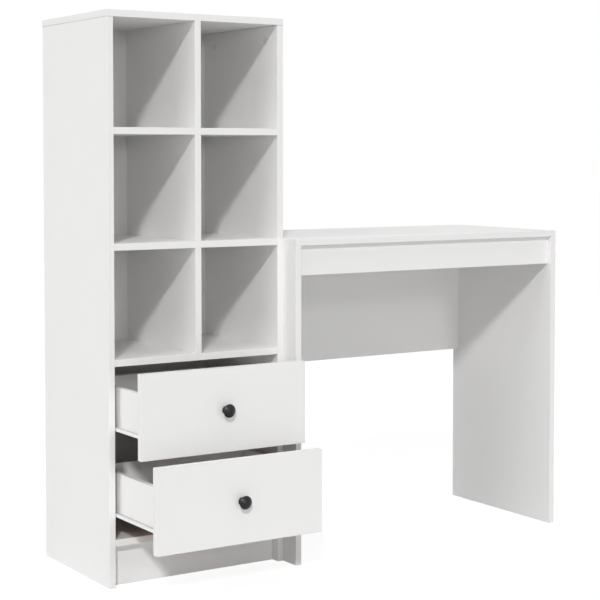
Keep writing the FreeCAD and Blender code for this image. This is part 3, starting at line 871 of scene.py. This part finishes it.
def knob_outline(reach, widest):
    """Half section of a mushroom knob: foot with a bead, waisted neck, rim and flat dome."""
    foot, neck, waist = widest * 0.60, widest * 0.41, reach * 0.36
    rim_at, rim = reach * 0.70, widest * 0.085
    dome_height = reach - rim_at - rim * 0.72
    dome_radius = ((widest - rim) ** 2 + dome_height**2) / (2 * dome_height)
    half = math.degrees(math.asin((widest - rim) / dome_radius))
    outline = [(0, 0), (foot - FOOT_CHAMFER, 0), (foot, FOOT_CHAMFER)]
    outline += [(foot, FOOT_THICK - 0.6 * MM), (foot - 0.3 * MM, FOOT_THICK - 0.2 * MM)]
    outline += [(foot - FOOT_STEP, FOOT_THICK)]
    outline += between((foot - FOOT_STEP, FOOT_THICK), (neck, waist), NECK_CURVE)
    outline += between((neck, waist), (widest - rim, rim_at - rim), CAP_CURVE)
    outline += arc((widest - rim, rim_at), rim, -90, 52, 9)
    outline += arc((0, reach - dome_radius), dome_radius, 90 - half * 0.93, 90, 12)[:-1]
    return outline + [(0, reach)]


for drawer in DRAWERS:
    node = drawer + "_knob"
    low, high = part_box(node)
    mesh = turned(node, knob_outline(high.y - low.y, (high.x - low.x) / 2), 64, LACQUER)
    stood(mesh, Vector(((low.x + high.x) / 2, high.y, (low.z + high.z) / 2)), (0, -1, 0))
    show(drawer + "_turned_knob", mesh, drawer, [node])

# %% [markdown]
# ## Screws of the runners, drawers and knobs
#
# Cross-headed screws hold the rails to the tower and to the drawers, the drawer sides to their
# backs, and each knob to its front. They are sorted by length, since a longer screw is another
# master. The head's size is measured on the model, so the new heads cover the old ones exactly.


# %% Place the screws
def head_radius(points):
    return np.sort(np.ptp(points, axis=0))[1] / 2


def place_screws(name, node, groups, body):
    """Replaces a node of screws; each group is one length of screw with its head's height."""
    meshes = []
    for solids_in, head, shank in groups:
        places = [headed(points) for points in solids_in]
        radius = head_radius(solids_in[0])
        master = screw(radius, head, shank, places[0][2])
        master = recessed(master, cross(radius * 0.55, radius * 0.2), head * 0.8)
        meshes.append(placed(name, [place[:2] for place in places], master, ZINC))
    joined = bmesh.new()
    for mesh in meshes:
        joined.from_mesh(mesh)
    joined.to_mesh(meshes[0])
    joined.free()
    show(name, meshes[0], body, [node])


PAN, KNOB_PAN = 1.6 * MM, 2.4 * MM
WOOD_SHANK, KNOB_SHANK = 1.75 * MM, 2.0 * MM
LONG = 25 * MM
place_screws("rail_screws", "tower_rail_screws",
             [(solids("tower_rail_screws"), PAN, WOOD_SHANK)], "carcass")
for drawer in DRAWERS:
    both = solids(drawer + "_screws")
    short = [points for points in both if np.ptp(points, axis=0).max() < LONG]
    long = [points for points in both if np.ptp(points, axis=0).max() >= LONG]
    place_screws(drawer + "_cross_screws", drawer + "_screws",
                 [(short, PAN, WOOD_SHANK), (long, PAN, WOOD_SHANK)], drawer)
    place_screws(drawer + "_knob_fixing", drawer + "_knob_screw",
                 [(solids(drawer + "_knob_screw"), KNOB_PAN, KNOB_SHANK)], drawer)

# %% [markdown]
# ## Nails in the back board
#
# The thin back is nailed every 15 cm or so. A nail's head is a shallow dome, punched almost
# level. Head, shank and point are turned in one piece and placed by the same tree, since nails
# are driven by eye and each has a turn of its own.

# %% Place the nails
NAIL_SHANK, NAIL_POINT = 0.7 * MM, 2.5 * MM
nails = [headed(points) for points in solids("back_nails")]
nail_radius, nail_length = head_radius(solids("back_nails")[0]), nails[0][2]
nail_outline = [(0, 0), (nail_radius * 0.5, -0.08 * MM), (nail_radius * 0.85, -0.2 * MM)]
nail_outline += [(nail_radius, -0.4 * MM), (nail_radius, -0.55 * MM), (NAIL_SHANK, -0.7 * MM)]
nail_outline += [(NAIL_SHANK, -nail_length + NAIL_POINT), (0, -nail_length)]
nail = turned("nail", nail_outline, 14, ZINC)
show("back_nail_heads", placed("back_nail_heads", [n[:2] for n in nails], nail, ZINC),
     "carcass", ["back_nails"])

# %% [markdown]
# ## Link bolts
#
# Four sleeve bolts tie the desk's left leg to the tower. Each has a broad flat head with a
# hexagon socket at both ends. White caps are pressed over the heads, as makers do where a bolt
# would show on white board. The bolt stays whole under its cap, since a cap can be pulled off.

# %% Place the link bolts
links = [headed(points)[:2] for points in solids("desk_link_bolts")]
link_radius = head_radius(solids("desk_link_bolts")[0])
LINK_HEAD, LINK_SHANK, LINK_SHOWN = 1.5 * MM, 2.4 * MM, 12 * MM
SOCKET, SOCKET_DEPTH = 2.3 * MM, 1.2 * MM
link_outline = [(0, 0), (link_radius * 0.86, 0), (link_radius * 0.95, -0.15 * MM)]
link_outline += [(link_radius, -0.5 * MM), (link_radius, -LINK_HEAD), (LINK_SHANK, -LINK_HEAD)]
link_outline += [(LINK_SHANK, -LINK_SHOWN), (0, -LINK_SHOWN)]
link = recessed(turned("link", link_outline, 36, ZINC), polygon(SOCKET, 6), SOCKET_DEPTH)
show("link_bolt_heads", placed("link_bolt_heads", links, link, ZINC),
     "carcass", ["desk_link_bolts"])

CAP_RISE = 0.5 * MM
CAP_RADIUS, CAP_FOOT = link_radius + 0.5 * MM, LINK_HEAD + CAP_RISE
cap_outline = [(0, 0), (CAP_RADIUS * 0.75, -CAP_RISE * 0.15), (CAP_RADIUS * 0.93, -CAP_RISE * 0.8)]
cap_outline += [(CAP_RADIUS, -CAP_RISE * 2), (CAP_RADIUS, -CAP_FOOT), (0, -CAP_FOOT)]
cap = turned("link_cap", cap_outline, 40, NYLON)
caps = placed("link_bolt_caps", links, cap, NYLON, rise=CAP_RISE)
show("link_bolt_caps", caps, "carcass")

# %% [markdown]
# ## Covers over the cams
#
# Every joint of the case is pulled tight by a cam, and a white cover hides its slot. The cover
# is a thin moulded cap, a little wider than the cam, with a rolled rim. On white board it shows
# only as a soft ring. A drawer's node holds its cams and their bolts together, so the cams are
# picked out by their size.

# %% Place the cam covers
COVER_RADIUS, COVER_RISE, LARGEST_CAM = 8.4 * MM, 0.55 * MM, 16 * MM
cover_outline = [(0, 0), (COVER_RADIUS * 0.9, -COVER_RISE * 0.06)]
cover_outline += [(COVER_RADIUS * 0.96, -COVER_RISE * 0.25), (COVER_RADIUS, -COVER_RISE * 0.8)]
cover_outline += [(COVER_RADIUS, -COVER_RISE), (0, -COVER_RISE)]
cover = turned("cover", cover_outline, 40, NYLON)
cam_bodies = {"case_cams": "carcass"}
for drawer in DRAWERS:
    cam_bodies[drawer + "_cam_fittings"] = drawer
for node, body in cam_bodies.items():
    name = node + "_covers"
    seats = [capped(p) for p in solids(node) if np.ptp(p, axis=0).max() < LARGEST_CAM]
    covers = placed(name, seats, cover, NYLON, rise=COVER_RISE, largest_turn=0.0)
    show(name, covers, body)

# %% [markdown]
# ## Bending sheet steel
#
# A runner is two strips of 1 mm steel, bent on a press and powder coated white. A press leaves
# round bends, so a section is drawn as a line through the middle of the sheet, its corners are
# rounded, the line is thickened to both sides and run along the drawer's way. A Solidify modifier
# on a flat ribbon would do it as well, but its corners pinch where the bend is as tight as here.

# %% Bend a strip
SHEET, BEND = 1.0 * MM, 0.9 * MM


def rounded(path):
    """The path with an arc in place of each corner."""
    points = [Vector(path[0])]
    for before, at, after in zip(path, path[1:], path[2:]):
        corner = Vector(at)
        back, ahead = (Vector(before) - corner).normalized(), (Vector(after) - corner).normalized()
        half = back.angle(ahead) / 2
        centre = corner + (back + ahead).normalized() * BEND / math.sin(half)
        first = corner + back * BEND / math.tan(half) - centre
        last = corner + ahead * BEND / math.tan(half) - centre
        points += [centre + first.lerp(last, step / 5).normalized() * BEND for step in range(6)]
    return points + [Vector(path[-1])]


def strip(shape, path, start, end):
    """Adds a bent sheet that runs along Y; the path holds its (x, z) points."""
    middle = rounded(path)
    sides = []
    for before, after in zip(middle[:1] + middle[:-1], middle[1:] + middle[-1:]):
        sides.append(Vector((before.y - after.y, after.x - before.x)).normalized() * SHEET / 2)
    outline = [point + side for point, side in zip(middle, sides)]
    outline += [point - side for point, side in zip(middle[::-1], sides[::-1])]
    ends = [[shape.verts.new((p.x, y, p.y)) for p in outline] for y in (start, end)]
    count = len(outline)
    for i in range(count):
        j = (i + 1) % count
        shape.faces.new((ends[0][i], ends[0][j], ends[1][j], ends[1][i]))
    for ring in ends:
        for i in range(count // 2 - 1):
            shape.faces.new((ring[i], ring[i + 1], ring[count - 2 - i], ring[count - 1 - i]))


def plate(shape, one, other):
    """Adds a flat piece between two corners."""
    middle, size = (Vector(one) + Vector(other)) / 2, Vector(other) - Vector(one)
    sized = Matrix.Diagonal([abs(value) for value in size] + [1.0])
    bmesh.ops.create_cube(shape, size=1.0, matrix=Matrix.Translation(middle) @ sized)


def finished_strip(name, shape):
    """The bent sheet as a painted mesh, smooth round the bends and sharp at the cut edges."""
    mesh = meshed(shape, name)
    mesh.materials.append(POWDER)
    mesh.shade_smooth()
    mesh.set_sharp_from_angle(angle=math.radians(40))
    return mesh


print("a bend has", len(rounded([(0, 0), (1, 0), (1, 1)])) - 2, "points")

# %% [markdown]
# ## The drawers' rails
#
# Under each drawer side runs an angle: a flange below the side, a wall beside it, and an arm that
# reaches out over the front wheel and ends in a lip with a shallow joggle. A tail at the back
# hangs down to carry the rear wheel. The section is given for one hand and mirrored by a sign,
# so that left and right stay alike.

# %% Bend the drawers' rails
FLANGE, WALL, LIP, TAIL, JOGGLE = 10 * MM, 10 * MM, 7 * MM, 24 * MM, 0.45 * MM
RUNNERS = [(drawer, drawer + "_" + side, hand)
           for drawer in DRAWERS for side, hand in (("left", 1), ("right", -1))]


def drawer_rail(node, hand, drawer):
    low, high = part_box(node)
    level, side = high.z - WALL, low.x + FLANGE if hand > 0 else high.x - FLANGE
    half = SHEET / 2

    def at(distance, height):
        return side - hand * distance, level + height

    lip_at, top = FLANGE - half, WALL - half
    path = [at(-FLANGE, -half), at(half, -half), at(half, top)]
    path += [at(lip_at - JOGGLE, top), at(lip_at - JOGGLE, WALL - 0.5 * LIP)]
    path += [at(lip_at, WALL - 0.6 * LIP), at(lip_at, WALL - LIP)]
    shape = bmesh.new()
    strip(shape, path, low.y, high.y)
    strip(shape, [at(half, -half), (at(half, 0)[0], low.z)], high.y - TAIL, high.y)
    show(node + "_bent", finished_strip(node + "_bent", shape), drawer, [node])


for drawer, runner, hand in RUNNERS:
    drawer_rail(runner + "_drawer_rail", hand, drawer)

# %% [markdown]
# ## The tower's rails
#
# On the tower's side runs a channel that the drawer's rear wheel rolls in. Its upper flange is
# left away around the front wheel, its back end is closed by a plate, and a small bent tab stops
# the drawer. The cut-out is measured from the wheel itself, so it stays around the wheel if the
# wheel is moved.

# %% Bend the tower's rails
CHANNEL, STOP_FROM_END, WHEEL_ROOM = 17.6 * MM, 246.6 * MM, 11.5 * MM
STOP_LENGTH, STOP_HEIGHT = 3 * MM, 4 * MM


def tower_rail(node, hand, wheel_y):
    low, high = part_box(node)
    wall, half = low.x if hand > 0 else high.x, SHEET / 2
    top, web, tip = low.z + CHANNEL, wall + hand * half, wall + hand * FLANGE
    under = [(web, low.z + half), (tip, low.z + half)]
    cut_back, stop = wheel_y + WHEEL_ROOM, high.y - STOP_FROM_END
    shape = bmesh.new()
    strip(shape, [(web, top)] + under, low.y, cut_back)
    strip(shape, [(tip, top - half), (web, top - half)] + under, cut_back, high.y)
    plate(shape, (tip, high.y - SHEET, low.z + half), (wall + hand * SHEET, high.y, top - half))
    plate(shape, (tip, stop - STOP_LENGTH, low.z + half), (web, stop, low.z + STOP_HEIGHT))
    show(node + "_bent", finished_strip(node + "_bent", shape), "carcass", [node])


for _, runner, hand in RUNNERS:
    wheel_low, wheel_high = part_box(runner + "_front_roller")
    tower_rail(runner + "_tower_rail", hand, (wheel_low.y + wheel_high.y) / 2)

# %% [markdown]
# ## Roller wheels
#
# Each runner rolls on two small nylon wheels. A moulded wheel isn't a plain disc: its faces are
# dished to save plastic, the tread is crowned a touch, and a hub stands around the pin. A wheel
# is hollow at its axis, so its section is a closed loop and is turned as a ring. The width,
# radius and centre come from the model's roller, and the new wheel rides on the roller's own
# body, so it turns as the drawer moves.

# %% Turn the wheels
PIN_RADIUS, HUB_WALL, DISH = 2.0 * MM, 1.5 * MM, 0.9 * MM
RIM_WALL, SLOPE, TREAD_EDGE, CROWN = 1.3 * MM, 0.3 * MM, 0.5 * MM, 0.1 * MM
BORE = PIN_RADIUS + 0.05 * MM


def turned_ring(name, loop, segments, material):
    """Turns a closed loop of (radius, height) pairs that stays clear of the axis."""
    shape = bmesh.new()
    rings = []
    for radius, height in loop:
        angles = [2 * math.pi * step / segments for step in range(segments)]
        rings.append([shape.verts.new((radius * math.cos(a), radius * math.sin(a), height))
                      for a in angles])
    for inner, outer in zip(rings, rings[1:] + rings[:1]):
        for step in range(segments):
            after = (step + 1) % segments
            shape.faces.new((inner[step], inner[after], outer[after], outer[step]))
    mesh = meshed(shape, name)
    mesh.materials.append(material)
    mesh.shade_smooth()
    mesh.set_sharp_from_angle(angle=math.radians(40))
    return mesh


def wheel(node):
    low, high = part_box(node)
    centre, face, radius = (low + high) / 2, (high.x - low.x) / 2, (high.z - low.z) / 2
    hub, rim = BORE + HUB_WALL, radius - RIM_WALL
    half = [(BORE, 0), (BORE, face), (hub, face), (hub + 0.2 * MM, face - DISH)]
    half += [(rim - SLOPE, face - DISH), (rim, face), (radius - TREAD_EDGE, face)]
    half += [(radius - CROWN, face - TREAD_EDGE), (radius, 0)]
    loop = half + [(r, -h) for r, h in reversed(half[1:-1])]
    mesh = turned_ring(node + "_wheel", loop, 40, NYLON)
    stood(mesh, centre, (1, 0, 0))
    show(node + "_wheel", mesh, node, [node])


for _, runner, _ in RUNNERS:
    wheel(runner + "_front_roller")
    wheel(runner + "_rear_roller")

# %% [markdown]
# ## The wheels' pins
#
# A steel pin is riveted through each rail and carries the wheel on its free end: a shoulder keeps
# the wheel off the rail and a low domed head keeps it on. The front pins are fixed to the tower,
# the rear ones to the drawer, so each pin rides on the body of its rail and stays still while its
# wheel turns.

# %% Turn the pins
PIN_HEAD, PIN_HEAD_RADIUS, ROLL_GAP = 0.8 * MM, 3.2 * MM, 0.3 * MM
FRONT_SHOULDER, REAR_SHOULDER = 3.0 * MM, 1.3 * MM


def pin(node, towards, shoulder, body):
    """The riveted pin of one wheel; towards is the sense along X of its free end."""
    low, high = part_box(node)
    width = high.x - low.x
    start = (low + high) / 2 - Vector((towards * (width / 2 + ROLL_GAP + shoulder), 0, 0))
    under_head, collar = shoulder + width + 2 * ROLL_GAP, PIN_RADIUS + 0.4 * MM
    outline = [(0, 0), (collar, 0), (collar, shoulder), (PIN_RADIUS, shoulder)]
    outline += [(PIN_RADIUS, under_head), (PIN_HEAD_RADIUS, under_head)]
    outline += [(PIN_HEAD_RADIUS, under_head + PIN_HEAD / 2)]
    outline += [(PIN_HEAD_RADIUS - 0.6 * MM, under_head + PIN_HEAD * 0.9)]
    outline += [(0, under_head + PIN_HEAD)]
    mesh = turned(node + "_pin", outline, 28, ZINC)
    mesh.set_sharp_from_angle(angle=math.radians(40))
    show(node + "_pin", stood(mesh, start, (towards, 0, 0)), body)


for drawer, runner, hand in RUNNERS:
    pin(runner + "_front_roller", hand, FRONT_SHOULDER, "carcass")
    pin(runner + "_rear_roller", -hand, REAR_SHOULDER, drawer)

# %% [markdown]
# ## Floor
#
# The desk stands on a pale studio floor that runs off into white. The floor is a large plane
# that keeps the desk's shadow. To the camera, and in reflections, part of its white is its own
# glow, so the floor reads white without a stronger lamp on the desk.

# %% Lay the floor
FLOOR_GLOW, GLOW_STRENGTH = 0.7, 1.26
FLOOR_SIZE = 60.0


def seen_directly(finish):
    """1 for camera, mirror and see-through rays, 0 for light that bounces softly."""
    seen = finish.node("LightPath", out="Is Camera Ray")
    for kind in ("Is Glossy Ray", "Is Transmission Ray"):
        seen = seen.larger(finish.node("LightPath", out=kind))
    return seen


def floor_finish():
    finish = Finish("studio_floor")
    scuff = finish.noise(0.35, detail=3)
    paint = finish.node(
        "BsdfDiffuse", sockets={"Color": finish.blend(scuff, grey(0.72), grey(0.74))}
    )
    glow = finish.node("Emission", sockets={"Color": grey(1.0), "Strength": GLOW_STRENGTH})
    mixed = finish.node("MixShader", sockets={"Fac": seen_directly(finish) * FLOOR_GLOW})
    for slot, part in zip(mixed.socket.node.inputs[1:], (paint, glow)):
        finish.tree.links.new(part.socket, slot)
    return finish.end("OutputMaterial", mixed)


bpy.ops.mesh.primitive_plane_add(size=FLOOR_SIZE)
floor = bpy.context.object
floor.name = "studio_floor"
floor.data.materials.append(floor_finish())
floor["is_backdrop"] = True
print("floor", FLOOR_SIZE, "m wide, glow", FLOOR_GLOW)

# %% [markdown]
# ## World
#
# Behind the desk is plain white. The camera and reflections see it at full strength, while the
# soft light that it sends into the scene is much weaker, or every shadow in the cubbies would
# fill up. The Light Path node tells the two kinds of ray apart.

# %% Set up the world
WORLD_LIGHT = 0.20
world = bpy.data.worlds.new("studio")
bpy.context.scene.world = world
sky = Finish("studio", world)
brightness = seen_directly(sky) * (1 - WORLD_LIGHT) + WORLD_LIGHT
ambient = sky.node("Background", sockets={"Color": grey(1.0), "Strength": brightness})
sky.end("OutputWorld", ambient)
print("world light", WORLD_LIGHT)

# %% [markdown]
# ## Lamps
#
# The light is that of a product studio. A fairly hard key from high on the left draws the
# slanting shadows inside the cubbies and under the desk. Three weaker lamps of the same kind fill
# in: one low in front reaches under the drawers, one almost level lifts the panel under the desk,
# and one high on the left, which the tower blocks, leaves the desk top beside the tower in shade.
# A soft box on the left evens out the tower's side and one overhead brings up the tops. A sun
# lamp has no distance, so its direction is all that has to be chosen.


# %% Place the lamps
def hung(name, lamp, at, towards):
    """Puts a lamp in the scene, looking in a direction."""
    holder = bpy.data.objects.new(name, lamp)
    holder.location = at
    holder.rotation_euler = Vector(towards).to_track_quat("-Z", "Y").to_euler()
    bpy.context.scene.collection.objects.link(holder)
    print(name, "-", lamp.type.lower(), round(lamp.energy, 2))


def sun(name, towards, strength, spread):
    """A far lamp; strength 1 lights a white board that faces it to full white."""
    lamp = bpy.data.lights.new(name, "SUN")
    lamp.energy = strength * math.pi
    lamp.angle = math.radians(spread)
    hung(name, lamp, (0, 0, 0), towards)


def soft_box(name, at, aim, size, power):
    lamp = bpy.data.lights.new(name, "AREA")
    lamp.shape = "RECTANGLE"
    lamp.size, lamp.size_y = size
    lamp.energy = power
    hung(name, lamp, at, Vector(aim) - Vector(at))


sun("key", (0.70, 1, -0.79), 0.45, 5.3)
sun("low_front", (-0.1, 1, -0.32), 0.078, 8)
sun("front_fill", (0.3, 1, -0.075), 0.094, 8)
sun("high_left", (0.66, 0.11, -0.74), 0.12, 26)
soft_box("left_box", (-4.5, -0.4, 1.6), (-0.4, 0, 0.7), (3.0, 2.4), 40)
soft_box("overhead", (0.3, -0.6, 4.6), (0.3, 0, 0.7), (3.5, 2.5), 48)

# %% [markdown]
# ## Camera
#
# The desk is seen from the front left, a little above the desk top, through a longish lens that
# keeps the uprights nearly parallel. The frame is lowered with the lens's shift rather than by
# tilting further, as one does with a view camera, so that the uprights don't converge.

# %% Set up the camera
EYE = Vector((-2.073, -3.0918, 0.9336))
TURN, TILT = 32.791, 2.5
FOCAL_LENGTH, FILM_WIDTH, LENS_SHIFT = 93.91, 36, -0.1266
lens = bpy.data.cameras.new("camera")
lens.lens = FOCAL_LENGTH
lens.sensor_width = FILM_WIDTH
lens.shift_y = LENS_SHIFT
camera = bpy.data.objects.new("camera", lens)
camera.location = EYE
camera.rotation_euler = (math.radians(90 - TILT), 0, math.radians(-TURN))
bpy.context.scene.collection.objects.link(camera)
bpy.context.scene.camera = camera
bpy.context.scene.view_settings.view_transform = "Standard"
print("camera", round(EYE.length, 2), "m from the middle of the desk's floor area")

# %% [markdown]
# ## Sizes
#
# A last look at the sizes: the box of the model as it was loaded, and the box of what now shows.
# New pieces stay inside the old ones' limits, so the two agree, and both are printed.

# %% Print the boxes and finish
visual_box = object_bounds()
boxes = {"cad": model_box, "visual": visual_box}
boxes = {name: [list(corner) for corner in box] for name, box in boxes.items()}
print(boxes)
